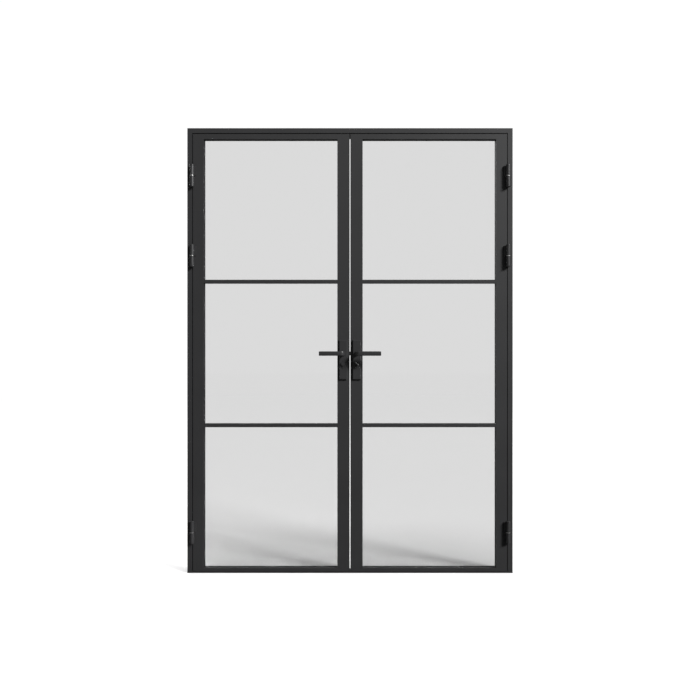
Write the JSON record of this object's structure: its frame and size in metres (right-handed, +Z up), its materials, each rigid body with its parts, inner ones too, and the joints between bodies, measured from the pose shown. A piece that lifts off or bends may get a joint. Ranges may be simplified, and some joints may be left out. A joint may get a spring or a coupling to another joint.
{
  "type": "french doors",
  "caption": "Pair of slim glazed metal french doors in their frame, each leaf divided by horizontal bars, with lever handles and barrel hinges.",
  "frame": {"origin": "middle of the frame's width and of the leaf thickness, at the underside of the threshold", "axes": "+Z up, +X to the right seen from the front, fronts and hinge barrels face -Y, the wall side is +Y"},
  "size_m": [1.536, 0.16, 2.1],
  "materials": {
    "powder_coat": "fine textured matt powder coat, charcoal grey",
    "hardware_coat": "satin charcoal coat",
    "zinc_steel": "zinc plated",
    "polished_steel": "turned and polished",
    "aluminium": "mill finish",
    "laminated_glass": "clear",
    "seal_rubber": "matt",
    "guide_nylon": "moulded"
  },
  "bodies": {
    "frame": {"left_jamb": "powder_coat", "right_jamb": "powder_coat", "head": "powder_coat", "threshold": "powder_coat", "frame_corner_keys": "aluminium", "frame_seals": "seal_rubber", "frame_hinge_knuckles": "hardware_coat", "hinge_pins": "polished_steel", "hinge_washers": "polished_steel", "head_keeper": "zinc_steel", "floor_keeper": "zinc_steel", "head_keeper_screws": "zinc_steel"},
    "left_leaf": {"left_hinge_stile": "powder_coat", "left_meeting_stile": "powder_coat", "left_top_rail": "powder_coat", "left_bottom_rail": "powder_coat", "left_glazing_bars": "powder_coat", "left_panes": "laminated_glass", "left_glazing_beads": "powder_coat", "left_glazing_gaskets": "seal_rubber", "left_corner_cleats": "aluminium", "left_hinge_knuckles": "hardware_coat", "left_gearbox": "zinc_steel", "left_strike": "zinc_steel", "left_strike_screws": "zinc_steel", "left_bolt_guides": "guide_nylon", "left_front_plate": "hardware_coat", "left_rear_plate": "hardware_coat", "left_plate_bolts": "zinc_steel", "left_cylinder": "hardware_coat"},
    "left_lever": {"left_front_lever": "hardware_coat", "left_rear_lever": "hardware_coat", "left_spindle": "zinc_steel", "left_follower": "zinc_steel"},
    "left_upper_bolt": {"left_upper_bolt": "zinc_steel"},
    "left_lower_bolt": {"left_lower_bolt": "zinc_steel"},
    "right_leaf": {"right_hinge_stile": "powder_coat", "right_meeting_stile": "powder_coat", "right_top_rail": "powder_coat", "right_bottom_rail": "powder_coat", "right_glazing_bars": "powder_coat", "right_panes": "laminated_glass", "right_glazing_beads": "powder_coat", "right_glazing_gaskets": "seal_rubber", "right_corner_cleats": "aluminium", "right_hinge_knuckles": "hardware_coat", "right_lock_case": "zinc_steel", "right_faceplate": "zinc_steel", "right_faceplate_screws": "zinc_steel", "right_front_plate": "hardware_coat", "right_rear_plate": "hardware_coat", "right_plate_bolts": "zinc_steel", "right_cylinder": "hardware_coat"},
    "right_lever": {"right_front_lever": "hardware_coat", "right_rear_lever": "hardware_coat", "right_spindle": "zinc_steel", "right_follower": "zinc_steel"},
    "latch": {"latch": "zinc_steel"},
    "deadbolt": {"deadbolt": "zinc_steel"},
    "thumb_turn": {"thumb_turn": "hardware_coat"}
  },
  "joints": [
    {"name": "left_leaf_swing", "type": "hinge", "parent": "frame", "child": "left_leaf", "pos_m": [-0.74445, -0.0305, 1], "axis": [0, 0, -1], "range_deg": [0, 170]},
    {"name": "right_leaf_swing", "type": "hinge", "parent": "frame", "child": "right_leaf", "pos_m": [0.74445, -0.0305, 1], "axis": [0, 0, 1], "range_deg": [0, 170]},
    {"name": "left_lever_turn", "type": "hinge", "parent": "left_leaf", "child": "left_lever", "pos_m": [-0.032, 0, 1.036], "axis": [0, -1, 0], "range_deg": [0, 45], "stiffness_Nm_per_rad": 0.8, "springref_deg": -68.75},
    {"name": "right_lever_turn", "type": "hinge", "parent": "right_leaf", "child": "right_lever", "pos_m": [0.032, 0, 1.036], "axis": [0, 1, 0], "range_deg": [0, 45], "stiffness_Nm_per_rad": 0.8, "springref_deg": -68.75},
    {"name": "upper_bolt_slide", "type": "slide", "parent": "left_leaf", "child": "left_upper_bolt", "axis": [0, 0, -1], "range_m": [0, 0.016]},
    {"name": "lower_bolt_slide", "type": "slide", "parent": "left_leaf", "child": "left_lower_bolt", "axis": [0, 0, 1], "range_m": [0, 0.016]},
    {"name": "latch_slide", "type": "slide", "parent": "right_leaf", "child": "latch", "axis": [1, 0, 0], "range_m": [0, 0.01]},
    {"name": "thumb_turn_turn", "type": "hinge", "parent": "right_leaf", "child": "thumb_turn", "pos_m": [0.032, -0.03, 0.988], "axis": [0, -1, 0], "range_deg": [0, 90]},
    {"name": "deadbolt_slide", "type": "slide", "parent": "right_leaf", "child": "deadbolt", "axis": [-1, 0, 0], "range_m": [0, 0.014]}
  ],
  "couplings": [
    {"joint": "upper_bolt_slide", "follows": "left_lever_turn", "m_per_rad": 0.02037},
    {"joint": "lower_bolt_slide", "follows": "left_lever_turn", "m_per_rad": 0.02037},
    {"joint": "latch_slide", "follows": "right_lever_turn", "m_per_rad": 0.01273},
    {"joint": "deadbolt_slide", "follows": "thumb_turn_turn", "m_per_rad": 0.00891}
  ]
}
